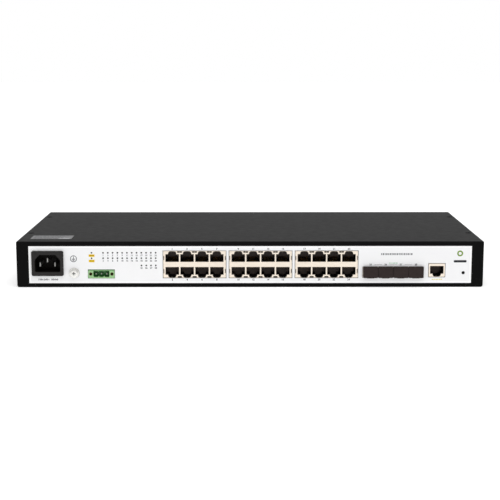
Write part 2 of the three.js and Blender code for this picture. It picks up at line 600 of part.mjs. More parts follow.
// Each wire starts behind an inlet tab or over a board and ends square to what it is joined to.
const TAB_END = INLET.tabRear + 0.4;
const JOINT = SEAT + 0.4;
const mainsWire = (x, end) =>
  wire([[x, TAB_END, 21.9], [x, -63, 21.9], [end, -57.5, 17], [end, -55, 12], [end, -55, JOINT]]);
const lineWire = () => mainsWire(-197.7, -200);
const neutralWire = () => mainsWire(-183.7, -188);
const earthWire = () =>
  wire([
    [-190.7, TAB_END, 25.9], [-190.7, -62, 25.9], [-182, -60, 22],
    [-170, -68, 15], [GROUND.x, -80, GROUND.z], [GROUND.x, -91.8, GROUND.z],
  ]);
const dcCable = () =>
  wire([
    [-165, 70, JOINT], [-165, 70, 13], [-161, 66, 18],
    [-154, 58, 18], [-150, 54, 13], [-150, 54, JOINT],
  ]);

// ---------------------------------------------------------------- assembly
// A solid as a named mesh in a group.
function add(group, name, solid, material) {
  const { vertProperties, triVerts } = solid.getMesh();
  const geometry = new THREE.BufferGeometry();
  geometry.setAttribute("position", new THREE.BufferAttribute(vertProperties, 3));
  geometry.setIndex(new THREE.BufferAttribute(triVerts, 1));
  geometry.computeVertexNormals();
  const mesh = new THREE.Mesh(geometry, material);
  mesh.name = name;
  group.add(mesh);
}

function enclosure() {
  const group = new THREE.Group();
  add(group, "chassis_tray", chassisTray(), BLACK_STEEL);
  add(group, "front_panel", frontPanel(), BLACK_STEEL);
  add(group, "front_overlay", frontOverlay(), FILM);
  add(group, "top_cover", topCover(), BLACK_STEEL);
  add(group, "rating_label", ratingLabel(), LABEL_FOIL);
  coverScrewPlaces().forEach(([x, y], i) => {
    add(group, `cover_screw_${i + 1}`, coverScrew(x, y), SCREW_BLACK);
  });
  return group;
}

function connectors() {
  const group = new THREE.Group();
  add(group, "ground_washer", groundWasher(), NICKEL);
  add(group, "ground_screw", groundScrew(), NICKEL);
  add(group, "power_inlet", powerInlet(), INLET_PLASTIC);
  Object.entries(inletPins()).forEach(([name, place]) => {
    add(group, `inlet_${name}`, inletPin(place), NICKEL);
  });
  add(group, "battery_header", batteryHeader(), GREEN_PLASTIC);
  [0, 1, 2].forEach((i) => add(group, `battery_pin_${i + 1}`, batteryPin(i), NICKEL));
  JACK.blockCentres.forEach((x, i) => {
    add(group, `jack_shield_${i + 1}`, jackShield(x), TINNED);
    add(group, `jack_core_${i + 1}`, jackCore(x), BLACK_PLASTIC);
  });
  add(group, "console_shield", consoleShield(), TINNED);
  add(group, "console_core", consoleCore(), BLACK_PLASTIC);
  add(group, "sfp_cage", sfpCage(), TINNED);
  for (let i = 0; i < SFP.bays; i += 1) {
    add(group, `sfp_plug_${i + 1}`, sfpPlug(i), RUBBER);
  }
  add(group, "reset_switch", resetSwitch(), BLACK_PLASTIC);
  add(group, "reset_button", resetButton(), BLACK_PLASTIC);
  return group;
}

function electronics() {
  const group = new THREE.Group();
  add(group, "status_light_guide", statusLightGuide(), CLEAR_PLASTIC);
  add(group, "port_light_guide", portLightGuide(), CLEAR_PLASTIC);
  add(group, "uplink_light_guide", uplinkLightGuide(), CLEAR_PLASTIC);
  add(group, "main_board", mainBoard(), LAMINATE);
  add(group, "switch_chip", switchChip(), CHIP_BLACK);
  add(group, "switch_heatsink", switchHeatsink(), ALUMINIUM);
  JACK.blockCentres.forEach((x, i) => {
    add(group, `phy_chip_${i + 1}`, slab(x, PHY.y, PHY.size, PHY.height), CHIP_BLACK);
  });
  BOARD_STANDOFFS.forEach(([x, y], i) => add(group, `board_standoff_${i + 1}`, standoff(x, y), NICKEL));
  return group;
}

function powerSupply() {
  const group = new THREE.Group();
  add(group, "power_board", powerBoard(), LAMINATE);
  add(group, "power_insulator", powerInsulator(), MYLAR);
  add(group, "power_transformer", powerTransformer(), TAPE);
  add(group, "bulk_capacitor", bulkCapacitor(), SLEEVE);
  add(group, "power_heatsink", powerHeatsink(), ALUMINIUM);
  POWER_STANDOFFS.forEach(([x, y], i) => add(group, `power_standoff_${i + 1}`, standoff(x, y), NICKEL));
  add(group, "line_wire", lineWire(), WIRE_BROWN);
  add(group, "neutral_wire", neutralWire(), WIRE_BLUE);
  add(group, "earth_wire", earthWire(), WIRE_GREEN);
  add(group, "dc_cable", dcCable(), WIRE_RED);
  return group;
}

const networkSwitch = new THREE.Group();
networkSwitch.add(enclosure(), connectors(), electronics(), powerSupply());

export default networkSwitch;
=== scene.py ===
import math

import bmesh
import bpy
from mathutils import Matrix, Vector

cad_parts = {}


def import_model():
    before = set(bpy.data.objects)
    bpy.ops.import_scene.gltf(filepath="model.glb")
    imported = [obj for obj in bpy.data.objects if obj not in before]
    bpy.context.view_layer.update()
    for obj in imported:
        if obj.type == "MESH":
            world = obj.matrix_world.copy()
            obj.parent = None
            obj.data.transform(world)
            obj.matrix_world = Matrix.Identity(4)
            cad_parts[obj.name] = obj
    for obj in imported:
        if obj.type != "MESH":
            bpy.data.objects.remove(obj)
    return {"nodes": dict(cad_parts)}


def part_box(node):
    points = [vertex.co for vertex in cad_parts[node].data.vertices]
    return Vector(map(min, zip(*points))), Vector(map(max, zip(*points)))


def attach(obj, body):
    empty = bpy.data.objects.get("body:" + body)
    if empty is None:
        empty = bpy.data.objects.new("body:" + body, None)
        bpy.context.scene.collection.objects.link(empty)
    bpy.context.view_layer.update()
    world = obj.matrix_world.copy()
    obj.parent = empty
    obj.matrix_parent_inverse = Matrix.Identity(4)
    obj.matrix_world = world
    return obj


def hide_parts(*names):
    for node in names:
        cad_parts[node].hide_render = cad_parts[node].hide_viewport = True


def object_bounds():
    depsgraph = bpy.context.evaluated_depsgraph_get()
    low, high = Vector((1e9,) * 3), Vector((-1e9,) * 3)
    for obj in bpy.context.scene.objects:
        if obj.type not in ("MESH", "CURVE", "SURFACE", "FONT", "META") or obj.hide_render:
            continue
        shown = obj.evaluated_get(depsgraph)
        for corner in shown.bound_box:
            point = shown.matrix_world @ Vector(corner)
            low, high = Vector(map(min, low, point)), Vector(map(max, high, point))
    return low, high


# A one-unit rackmount network switch: its finishes, printed marks and fine shapes.
# Positions are in metres in the row frame: +X right, +Y to the rear, +Z up, the front face at -Y.
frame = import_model()
cad_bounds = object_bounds()

MM = 0.001
CASE = "chassis"


# ---------------------------------------------------------------- places taken from the frame
class Box:
    """A CAD node's box: its edges, centre and size along each axis."""

    def __init__(self, node):
        low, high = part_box(node)
        self.x0, self.y0, self.z0 = low
        self.x1, self.y1, self.z1 = high
        self.x, self.y, self.z = (low + high) / 2
        self.width, self.depth, self.height = high - low


FILM = Box("front_overlay")
FILM_FACE = FILM.y0
BLOCKS = [Box(f"jack_shield_{i}") for i in (1, 2, 3)]
CONSOLE = Box("console_shield")
INLET = Box("power_inlet")
HEADER = Box("battery_header")
PLUGS = [Box(f"sfp_plug_{i}") for i in (1, 2, 3, 4)]
WASHER = Box("ground_washer")
GROUND = Box("ground_screw")
LABEL = Box("rating_label")
# The lowest that a new piece over the main board reaches.
BOARD_TOP = Box("main_board").z1 + 0.05 * MM


# ---------------------------------------------------------------- materials
# The range that a noise mostly keeps to, and the colour sockets of a Mix node.
NOISE_LOW, NOISE_HIGH = 0.3, 0.7
MIX_FIRST, MIX_SECOND, MIX_RESULT = 6, 7, 2
# How far the roughness of a plastic or a metal strays from its mean.
GLOSS_SPREAD = 0.06


def linear(*rgb):
    """A colour given as 0 to 255 display values, as the shader's linear values."""
    def one(value):
        value /= 255
        return value / 12.92 if value <= 0.04045 else ((value + 0.055) / 1.055) ** 2.4

    return tuple(one(value) for value in rgb) + (1.0,)


class Finish:
    """A node material: one shader, with noise textures added for colour, gloss and surface."""

    def __init__(self, name, rgb, roughness, metallic=0.0, specular=0.5):
        self.material = bpy.data.materials.new(name)
        self.material.use_nodes = True
        self.tree = self.material.node_tree
        self.shader = self.tree.nodes["Principled BSDF"]
        self.color = linear(*rgb)
        self.set("Base Color", self.color)
        self.set("Roughness", roughness)
        self.set("Metallic", metallic)
        self.set("Specular IOR Level", specular)
        self.place = self.tree.nodes.new("ShaderNodeTexCoord").outputs["Object"]

    def set(self, socket, value):
        self.shader.inputs[socket].default_value = value

    def link(self, output, target):
        self.tree.links.new(output, target)

    def noise(self, size, stretch=(1, 1, 1)):
        """A noise whose features are about size metres across, drawn out by stretch."""
        mapping = self.tree.nodes.new("ShaderNodeMapping")
        mapping.inputs["Scale"].default_value = [1 / s for s in stretch]
        noise = self.tree.nodes.new("ShaderNodeTexNoise")
        noise.inputs["Scale"].default_value = 1 / size
        noise.inputs["Detail"].default_value = 2.0
        self.link(self.place, mapping.inputs["Vector"])
        self.link(mapping.outputs["Vector"], noise.inputs["Vector"])
        return noise.outputs["Fac"]

    def between(self, factor, low, high):
        """A noise spread between two values."""
        spread = self.tree.nodes.new("ShaderNodeMapRange")
        spread.inputs["From Min"].default_value = NOISE_LOW
        spread.inputs["From Max"].default_value = NOISE_HIGH
        spread.inputs["To Min"].default_value = low
        spread.inputs["To Max"].default_value = high
        self.link(factor, spread.inputs["Value"])
        return spread.outputs["Result"]

    def mottled(self, size, amount, stretch=(1, 1, 1)):
        """The colour varies lighter and darker by amount."""
        mix = self.mix(self.between(self.noise(size, stretch), 0, 1), [
            tuple(c * (1 - amount) for c in self.color[:3]) + (1.0,),
            tuple(min(1.0, c * (1 + amount)) for c in self.color[:3]) + (1.0,),
        ])
        self.link(mix, self.shader.inputs["Base Color"])
        return self

    def mix(self, factor, colors):
        """Two colours blended by a factor. Each is a value or another node's output."""
        mix = self.tree.nodes.new("ShaderNodeMix")
        mix.data_type = "RGBA"
        self.link(factor, mix.inputs["Factor"])
        for socket, color in zip((mix.inputs[MIX_FIRST], mix.inputs[MIX_SECOND]), colors):
            if isinstance(color, tuple):
                socket.default_value = color
            else:
                self.link(color, socket)
        return mix.outputs[MIX_RESULT]

    def glossed(self, size, low, high, stretch=(1, 1, 1)):
        """The roughness varies between low and high."""
        self.link(self.between(self.noise(size, stretch), low, high), self.shader.inputs["Roughness"])
        return self

    def inside(self, axis, half, centre):
        """1 where the place along an axis is no further than half from centre, and 0 outside."""
        split = self.tree.nodes.new("ShaderNodeSeparateXYZ")
        self.link(self.place, split.inputs["Vector"])
        compare = self.tree.nodes.new("ShaderNodeMath")
        compare.operation = "COMPARE"
        self.link(split.outputs[axis], compare.inputs[0])
        compare.inputs[1].default_value = centre
        compare.inputs[2].default_value = half
        return compare.outputs[0]

    def grained(self, size, depth, stretch=(1, 1, 1)):
        """The surface rises and falls by depth metres."""
        bump = self.tree.nodes.new("ShaderNodeBump")
        bump.inputs["Distance"].default_value = depth
        self.link(self.noise(size, stretch), bump.inputs["Height"])
        self.link(bump.outputs["Normal"], self.shader.inputs["Normal"])
        return self


def powder_coat(name, specular):
    """Black paint with a faint orange-peel surface."""
    coat = Finish(name, (4, 4, 4), 0.42, specular=specular)
    return coat.mottled(20 * MM, 0.05).glossed(6 * MM, 0.4, 0.44).grained(1.2 * MM, 0.004 * MM)


def white_film():
    """White film, with a grey-white field printed inside a bright margin."""
    film = Finish("white_film", (250, 250, 250), 0.4, specular=0.35)
    margin = 1.6 * MM
    across = film.inside("X", FILM.width / 2 - margin, FILM.x)
    upright = film.inside("Z", FILM.height / 2 - margin, FILM.z)
    both = film.tree.nodes.new("ShaderNodeMath")
    both.operation = "MULTIPLY"
    film.link(across, both.inputs[0])
    film.link(upright, both.inputs[1])
    clouds = film.between(film.noise(50 * MM), 0, 1)
    field = film.mix(clouds, [linear(244, 244, 245), linear(247, 247, 248)])
    film.link(film.mix(both.outputs[0], [linear(254, 254, 254), field]), film.shader.inputs["Base Color"])
    return film.glossed(10 * MM, 0.36, 0.44).grained(0.5 * MM, 0.006 * MM)


def plastic(name, rgb, roughness, grain=0.01 * MM, specular=0.4):
    finish = Finish(name, rgb, roughness, specular=specular)
    finish.mottled(3 * MM, 0.06)
    finish.glossed(2 * MM, roughness - GLOSS_SPREAD, roughness + GLOSS_SPREAD)
    return finish.grained(0.4 * MM, grain)


def printing_ink(name, rgb):
    return plastic(name, rgb, 0.5, grain=0.001 * MM, specular=0.2)


def metal(name, rgb, roughness, stretch=(1, 1, 1), metallic=1.0):
    finish = Finish(name, rgb, roughness, metallic=metallic)
    finish.mottled(2 * MM, 0.04, stretch)
    finish.glossed(0.6 * MM, roughness - GLOSS_SPREAD, roughness + GLOSS_SPREAD, stretch)
    return finish.grained(0.4 * MM, 0.001 * MM, stretch)


def circuit_board():
    """Solder mask over tracks that show as darker and lighter lines."""
    board = Finish("solder_mask", (20, 92, 52), 0.35)
    tracks = board.tree.nodes.new("ShaderNodeTexBrick")
    tracks.inputs["Scale"].default_value = 220
    tracks.inputs["Mortar Size"].default_value = 0.03
    tracks.inputs["Color1"].default_value = linear(18, 84, 48)
    tracks.inputs["Color2"].default_value = linear(24, 100, 57)
    tracks.inputs["Mortar"].default_value = linear(34, 128, 72)
    board.link(board.place, tracks.inputs["Vector"])
    board.link(tracks.outputs["Color"], board.shader.inputs["Base Color"])
    return board.glossed(3 * MM, 0.3, 0.42)


def earth_insulation():
    """Green insulation with yellow patches."""
    wire = Finish("green_yellow", (70, 130, 50), 0.45)
    patches = wire.between(wire.noise(1.6 * MM), 0, 1)
    sharp = wire.tree.nodes.new("ShaderNodeMath")
    sharp.operation = "GREATER_THAN"
    sharp.inputs[1].default_value = 0.5
    wire.link(patches, sharp.inputs[0])
    mixed = wire.mix(sharp.outputs[0], [linear(60, 130, 50), linear(215, 200, 60)])
    wire.link(mixed, wire.shader.inputs["Base Color"])
    return wire.grained(1 * MM, 0.01 * MM)


def smoked_lens():
    lens = Finish("smoked_lens", (44, 44, 48), 0.25, specular=0.3)
    return lens.mottled(0.8 * MM, 0.1).grained(0.6 * MM, 0.004 * MM)


BODY_COAT = powder_coat("body_coat", 0.075)
COVER_COAT = powder_coat("cover_coat", 0.11)
WHITE_FILM = white_film()
TIN = metal("tin_plate", (242, 230, 215), 0.42, stretch=(4, 1, 1), metallic=0.7)
NICKEL = metal("nickel_plate", (229, 228, 224), 0.3)
INLET_PIN = metal("inlet_pin", (168, 168, 165), 0.34)
CONTACT_TIN = metal("contact_tin", (172, 176, 164), 0.4)
# A dull grey metal for the bottom of the screw's cross: painted shade in the recess.
RECESS_SHADE = metal("screw_recess_painted_shade", (120, 120, 118), 0.5)
GOLD = metal("gold_contact", (222, 176, 96), 0.3)
BRASS = metal("brass_insert", (112, 82, 50), 0.4)
BLACK_OXIDE = plastic("black_oxide", (7, 7, 7), 0.6, grain=0.002 * MM, specular=0.05)
ALUMINIUM = metal("aluminium_fins", (205, 208, 210), 0.36, stretch=(8, 1, 1))
INLET_PLASTIC = plastic("inlet_plastic", (41, 39, 39), 0.48, grain=0.02 * MM, specular=0.15)
# The inlet's plastic made darker: painted shade on the recess walls.
INLET_RECESS_SHADE = plastic("inlet_recess_painted_shade", (25, 21, 20), 0.55, grain=0.02 * MM, specular=0.1)
JACK_PLASTIC = plastic("jack_plastic", (14, 13, 13), 0.5, grain=0.01 * MM, specular=0.1)
# The jacks' black plastic made lighter: painted light on the sockets' back walls.
LIT_JACK_BACK = plastic("jack_plastic_painted_light", (104, 94, 91), 0.6, grain=0.01 * MM, specular=0.1)
GREEN_PLASTIC = plastic("green_plastic", (150, 194, 138), 0.4)
# The header's green plastic made darker and deeper: painted shade in its cavity and on its ledge.
SHADED_GREEN_PLASTIC = plastic("green_plastic_painted_shade", (58, 138, 66), 0.4)
PLUG_RUBBER = plastic("plug_rubber", (49, 40, 39), 0.62, grain=0.03 * MM, specular=0.12)
CLEAR_PLASTIC = plastic("clear_plastic", (170, 176, 178), 0.2)
CHIP_EPOXY = plastic("chip_epoxy", (34, 34, 36), 0.55, grain=0.03 * MM)
MYLAR = plastic("polyester_sheet", (40, 40, 42), 0.3)
TAPE = plastic("winding_tape", (214, 178, 66), 0.35)
SLEEVE = plastic("shrink_sleeve", (28, 36, 66), 0.3)
BROWN_PVC = plastic("brown_pvc", (104, 66, 42), 0.45)
BLUE_PVC = plastic("blue_pvc", (44, 80, 160), 0.45)
RED_PVC = plastic("red_pvc", (166, 48, 38), 0.45)
LABEL_FOIL = plastic("label_foil", (132, 132, 133), 0.42)
DARK_INK = printing_ink("dark_ink", (44, 44, 48))
GREY_INK = printing_ink("grey_ink", (96, 98, 102))
BROWN_INK = printing_ink("brown_ink", (110, 84, 20))
OLIVE_INK = printing_ink("olive_ink", (120, 150, 60))
YELLOW_INK = printing_ink("yellow_ink", (234, 196, 28))
PALE_YELLOW_INK = printing_ink("pale_yellow_ink", (228, 218, 140))
PALE_GREEN_INK = printing_ink("pale_green_ink", (176, 212, 184))
PALE_GREY_INK = printing_ink("pale_grey_ink", (186, 187, 189))
SOLDER_MASK = circuit_board()
EARTH_PVC = earth_insulation()
SMOKED_LENS = smoked_lens()


# ---------------------------------------------------------------- shapes
# Smooth shading stops at edges steeper than this.
SHARP_ANGLE = math.radians(32)
# A bevel rounds edges steeper than this.
BEVEL_ANGLE = math.radians(40)
# Faces this near to level with each other are one flat.
FLAT_ANGLE = math.radians(0.5)
# Points this close are merged.
MERGE = 0.001 * MM


def smooth_by_angle():
    """A modifier's nodes: faces shade smooth, and edges steeper than SHARP_ANGLE stay sharp."""
    group = bpy.data.node_groups.new("smooth_by_angle", "GeometryNodeTree")
    group.interface.new_socket("Geometry", in_out="INPUT", socket_type="NodeSocketGeometry")
    group.interface.new_socket("Geometry", in_out="OUTPUT", socket_type="NodeSocketGeometry")
    start = group.nodes.new("NodeGroupInput")
    end = group.nodes.new("NodeGroupOutput")
    angle = group.nodes.new("GeometryNodeInputMeshEdgeAngle")
    steep = group.nodes.new("FunctionNodeCompare")
    steep.operation = "GREATER_THAN"
    steep.inputs["B"].default_value = SHARP_ANGLE
    faces = group.nodes.new("GeometryNodeSetShadeSmooth")
    edges = group.nodes.new("GeometryNodeSetShadeSmooth")
    edges.domain = "EDGE"
    edges.inputs["Shade Smooth"].default_value = False
    group.links.new(start.outputs[0], faces.inputs["Geometry"])
    group.links.new(faces.outputs["Geometry"], edges.inputs["Geometry"])
    group.links.new(angle.outputs["Unsigned Angle"], steep.inputs["A"])
    group.links.new(steep.outputs["Result"], edges.inputs["Selection"])
    group.links.new(edges.outputs["Geometry"], end.inputs[0])
    return group


SMOOTH = smooth_by_angle()


def soften(obj, radius=0.0):
    """Rounds an object's sharp edges by a radius, and shades its curves smooth, all with modifiers."""
    if radius:
        bevel = obj.modifiers.new("round_edges", "BEVEL")
        bevel.width = radius
        bevel.segments = 2
        bevel.limit_method = "ANGLE"
        bevel.angle_limit = BEVEL_ANGLE
        bevel.miter_outer = "MITER_ARC"
    obj.modifiers.new("smooth", "NODES").node_group = SMOOTH
    flat = obj.modifiers.new("flat_stays_flat", "WEIGHTED_NORMAL")
    flat.keep_sharp = True


def dress(node, finish, radius=0.0):
    """Gives a CAD node that stays its finish. A radius is only for one with no holes through its flats."""
    obj = frame["nodes"][node]
    obj.data.materials.clear()
    obj.data.materials.append(finish.material)
    weld = obj.modifiers.new("weld", "WELD")
    weld.merge_threshold = MERGE
    if radius:
        flats = obj.modifiers.new("flats", "DECIMATE")
        flats.decimate_type = "DISSOLVE"
        flats.angle_limit = FLAT_ANGLE
    soften(obj, radius)


def piece(name, meshes, finish, body=CASE, replaces=()):
    """One new object out of meshes, on a body, with its finish."""
    joined = bmesh.new()
    for mesh in meshes:
        joined.from_mesh(mesh)
        bpy.data.meshes.remove(mesh)
    mesh = bpy.data.meshes.new(name)
    joined.to_mesh(mesh)
    joined.free()
    mesh.materials.append(finish.material)
    obj = bpy.data.objects.new(name, mesh)
    bpy.context.scene.collection.objects.link(obj)
    soften(obj)
    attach(obj, body)
    if replaces:
        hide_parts(*replaces)


def from_curve(curve, turn=None):
    """A curve's filled or tubed shape as a mesh with its seams merged."""
    holder = bpy.data.objects.new("curve", curve)
    mesh = bpy.data.meshes.new_from_object(holder)
    bpy.data.objects.remove(holder)
    bpy.data.curves.remove(curve)
    if turn:
        mesh.transform(turn)
    clean = bmesh.new()
    clean.from_mesh(mesh)
    bmesh.ops.remove_doubles(clean, verts=clean.verts, dist=MERGE)
    bmesh.ops.recalc_face_normals(clean, faces=clean.faces)
    clean.to_mesh(mesh)
    clean.free()
    return mesh


def facing_front(y):
    """Stands a shape drawn in (x, z) upright at y."""
    return Matrix.Translation((0, y, 0)) @ Matrix.Rotation(math.pi / 2, 4, "X")


def plate(outer, holes, front, back, rim=0.0):
    """A plate that faces the front, from outlines of (x, z) points, with its rims rounded by rim."""
    curve = bpy.data.curves.new("plate", "CURVE")
    curve.dimensions = "2D"
    curve.fill_mode = "BOTH"
    curve.extrude = (back - front) / 2 - rim
    curve.bevel_depth = rim
    curve.bevel_resolution = 2
    curve.offset = -rim
    for outline in [outer, *holes]:
        spline = curve.splines.new("POLY")
        spline.points.add(len(outline) - 1)
        for point, (x, z) in zip(spline.points, outline):
            point.co = (x, z, 0, 1)
        spline.use_cyclic_u = True
    return from_curve(curve, facing_front((front + back) / 2))


def block(x, y, z, rim=0.0, segments=2):
    """A box from its (low, high) along each axis, with its edges rounded by rim."""
    shape = bmesh.new()
    bmesh.ops.create_cube(shape, size=1)
    size = Vector((x[1] - x[0], y[1] - y[0], z[1] - z[0]))
    centre = Vector((x[1] + x[0], y[1] + y[0], z[1] + z[0])) / 2
    bmesh.ops.scale(shape, vec=size, verts=shape.verts)
    bmesh.ops.translate(shape, vec=centre, verts=shape.verts)
    if rim:
        bmesh.ops.bevel(shape, geom=shape.edges, offset=rim, segments=segments, profile=0.5, affect="EDGES")
    mesh = bpy.data.meshes.new("block")
    shape.to_mesh(mesh)
    shape.free()
    return mesh


def lathe(profile, place, axis, sides=32):
    """A solid of revolution. The profile is (radius, along) from axis to axis, along -Y or +Z."""
    shape = bmesh.new()
    chain = [shape.verts.new((r, 0, along)) for r, along in profile]
    edges = [shape.edges.new(pair) for pair in zip(chain, chain[1:])]
    bmesh.ops.spin(
        shape, geom=chain + edges, cent=(0, 0, 0), axis=(0, 0, 1),
        dvec=(0, 0, 0), angle=2 * math.pi, steps=sides,
    )
    bmesh.ops.remove_doubles(shape, verts=shape.verts, dist=MERGE)
    bmesh.ops.recalc_face_normals(shape, faces=shape.faces)
    mesh = bpy.data.meshes.new("lathe")
    shape.to_mesh(mesh)
    shape.free()
    if axis == "-Y":
        mesh.transform(Matrix.Rotation(math.pi / 2, 4, "X"))
    mesh.transform(Matrix.Translation(place))
    return mesh


def tubes(paths, radius):
    """Round wires along straight-sided paths, as one mesh."""
    curve = bpy.data.curves.new("tubes", "CURVE")
    curve.dimensions = "3D"
    curve.bevel_depth = radius
    curve.bevel_resolution = 1
    curve.use_fill_caps = True
    for path in paths:
        spline = curve.splines.new("POLY")
        spline.points.add(len(path) - 1)
        for point, place in zip(spline.points, path):
            point.co = (*place, 1)
    return from_curve(curve)


def cut(mesh, cutters):
    """The first mesh with the others cut out of it."""
    body = bpy.data.objects.new("cut", mesh)
    bpy.context.scene.collection.objects.link(body)
    tools = []
    for cutter in cutters:
        tool = bpy.data.objects.new("cutter", cutter)
        bpy.context.scene.collection.objects.link(tool)
        tools.append(tool)
        boolean = body.modifiers.new("cut", "BOOLEAN")
        boolean.object = tool
        boolean.operation = "DIFFERENCE"
        boolean.solver = "MANIFOLD"
    bpy.context.view_layer.update()
    result = bpy.data.meshes.new_from_object(body.evaluated_get(bpy.context.evaluated_depsgraph_get()))
    for tool in tools:
        used = tool.data
        bpy.data.objects.remove(tool)
        bpy.data.meshes.remove(used)
    bpy.data.objects.remove(body)
    bpy.data.meshes.remove(mesh)
    return result


# ---------------------------------------------------------------- outlines of (x, z) points
def rectangle(x, z, width, height, corner=0.0, steps=5):
    """A rectangle about a centre, with rounded corners."""
    w, h = width / 2 - corner, height / 2 - corner
    if not corner:
        return [(x - w, z - h), (x + w, z - h), (x + w, z + h), (x - w, z + h)]
    points = []
    for i, (cx, cz) in enumerate(((w, -h), (w, h), (-w, h), (-w, -h))):
        for step in range(steps + 1):
            angle = math.pi / 2 * (i - 1 + step / steps)
            points.append((x + cx + corner * math.cos(angle), z + cz + corner * math.sin(angle)))
    return points


def circle(x, z, radius, sides=24):
    """A circle about a centre."""
    turns = [2 * math.pi * i / sides for i in range(sides)]
    return [(x + radius * math.cos(a), z + radius * math.sin(a)) for a in turns]


def mouth(x, base, flip, grow=0.0):
    """A socket's mouth, from its contact side to its latch notch, which points up, or down for flip -1."""
    half = [
        (6.35 * MM + grow, -grow),
        (6.35 * MM + grow, 7.35 * MM + grow),
        (3.9 * MM + grow, 7.35 * MM + grow),
        (3.9 * MM + grow, 8.4 * MM + grow),
        (3.5 * MM + grow, 9.3 * MM + grow),
        (2.7 * MM + grow, 9.9 * MM + grow),
        (1.8 * MM + grow, 10.1 * MM + grow),
    ]
    whole = half + [(-u, v) for u, v in reversed(half)]
    return [(x + u, base + flip * v) for u, v in whole]


# ---------------------------------------------------------------- jacks
COLUMN_PITCH = 14 * MM
# Heights of the contact sides of the upper row, the lower row and the console socket.
UPPER_BASE = 24.2 * MM
LOWER_BASE = 19.25 * MM
CONSOLE_BASE = 20.1 * MM
SHEET = 0.25 * MM
CONTACTS = 8
CONTACT_PITCH = 1.02 * MM


def block_columns(box):
    return [box.x + (i - 1.5) * COLUMN_PITCH for i in range(4)]


def shell(box, front):
    """The sides, top and rear of a sheet-metal shield behind its front plate."""
    sides = [(box.x0, box.x0 + SHEET), (box.x1 - SHEET, box.x1)]
    depth = (front, box.y1)
    walls = [block(x, depth, (box.z0, box.z1 - SHEET)) for x in sides]
    inner = (box.x0 + SHEET, box.x1 - SHEET)
    top = block((box.x0, box.x1), depth, (box.z1 - SHEET, box.z1))
    rear = block(inner, (box.y1 - SHEET, box.y1), (box.z0, box.z1 - SHEET))
    return [*walls, top, rear]


def shield_slots(box):
    """Punched slots where the shield's springs are pressed out: by the sides, and between the columns."""
    inset = 0.5 * MM
    apart = 1.15 * MM
    slots = []
    for x in (box.x0 + inset, box.x1 - inset):
        for z in (UPPER_BASE + 3.7 * MM, LOWER_BASE - 3.85 * MM):
            slots.append(rectangle(x, z, 0.7 * MM, 4 * MM, 0.2 * MM, 2))
    for column in block_columns(box)[:-1]:
        middle = column + COLUMN_PITCH / 2
        for x in (middle - apart, middle + apart):
            slots.append(rectangle(x, box.z1 - 0.85 * MM, 2.1 * MM, 1.4 * MM, 0.15 * MM, 2))
        slots.append(rectangle(middle, box.z0 + 0.8 * MM, 3.8 * MM, 1.35 * MM, 0.2 * MM, 2))
    return slots


def contacts(x, base, flip, front):
    """A socket's eight spring wires, which rise from the contact side near the mouth towards the rear."""
    paths = []
    for i in range(CONTACTS):
        across = x + (i - (CONTACTS - 1) / 2) * CONTACT_PITCH
        paths.append([
            (across, front + 1.2 * MM, base + flip * 0.45 * MM),
            (across, front + 2.0 * MM, base + flip * 0.75 * MM),
            (across, front + 10.5 * MM, base + flip * 2.7 * MM),
            (across, front + 13.2 * MM, base + flip * 2.9 * MM),
        ])
    return paths


def comb(x, base, flip, front):
    """The moulded comb at the back of a socket that the spring wires pass between."""
    depth = (front + 9.5 * MM, front + 13.4 * MM)
    heights = sorted((base + flip * 0.3 * MM, base + flip * 2.5 * MM))
    half = 0.2 * MM
    teeth = []
    for i in range(CONTACTS + 1):
        across = x + (i - CONTACTS / 2) * CONTACT_PITCH
        teeth.append(block((across - half, across + half), depth, heights))
    return teeth


def back_wall(x, base, flip, front):
    """The insert that closes a socket's rear: the jack's black plastic painted lighter, as painted light that
    falls deep into the socket.
    """
    return plate(mouth(x, base, flip, -0.5 * MM), [], front + 13.5 * MM, front + 14.3 * MM)


def jack(name, box, places, replaced):
    """A shielded jack or block of jacks: its shield's front and shell, contacts, combs and back walls."""
    front = box.y0
    outline = rectangle(box.x, box.z, box.width, box.height, 0.5 * MM, 3)
    holes = [mouth(*place) for place in places]
    if len(places) > 1:
        holes += shield_slots(box)
    face = plate(outline, holes, front, front + SHEET, 0.06 * MM)
    piece(f"shield_{name}", [face, *shell(box, front + SHEET)], TIN, replaces=[replaced])
    wires = [path for place in places for path in contacts(*place, front)]
    piece(f"contacts_{name}", [tubes(wires, 0.2 * MM)], GOLD)
    teeth = [tooth for place in places for tooth in comb(*place, front)]
    piece(f"combs_{name}", teeth, JACK_PLASTIC)
    # The back walls are painted lighter: painted light inside the sockets.
    piece(f"backs_{name}", [back_wall(*place, front) for place in places], LIT_JACK_BACK)


def jack_block(i, box):
    columns = block_columns(box)
    upper = [(x, UPPER_BASE, 1) for x in columns]
    lower = [(x, LOWER_BASE, -1) for x in columns]
    jack(str(i), box, upper + lower, f"jack_shield_{i}")
    dress(f"jack_core_{i}", JACK_PLASTIC)


def console_jack():
    jack("console", CONSOLE, [(CONSOLE.x, CONSOLE_BASE, -1)], "console_shield")
    dress("console_core", JACK_PLASTIC)


